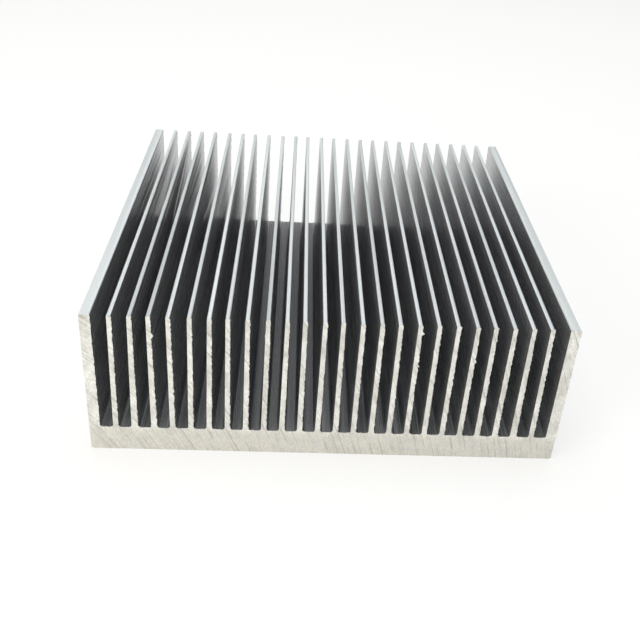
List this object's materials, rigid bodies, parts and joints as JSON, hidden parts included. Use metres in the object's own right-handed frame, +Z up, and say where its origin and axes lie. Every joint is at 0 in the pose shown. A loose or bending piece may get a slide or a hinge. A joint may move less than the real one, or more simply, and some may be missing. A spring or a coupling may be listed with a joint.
{
  "type": "extruded heat sink",
  "caption": "Extruded aluminium heat sink: a flat base with a dense row of thin upright fins between thicker outer walls, sawn off square at both ends.",
  "frame": {"origin": "centre of the flat underside of the base, in the plane that rests on the cooled part", "axes": "+Z up along the fins from the underside to their tips, +X across the fins, +Y along the channels"},
  "size_m": [0.08, 0.08, 0.027],
  "materials": {
    "extruded_aluminium": "bare mill finish with fine drawing lines along the profile, sawn ends with diagonal saw marks and light burrs"
  },
  "bodies": {
    "root": {"heat_sink": "extruded_aluminium"}
  },
  "joints": []
}
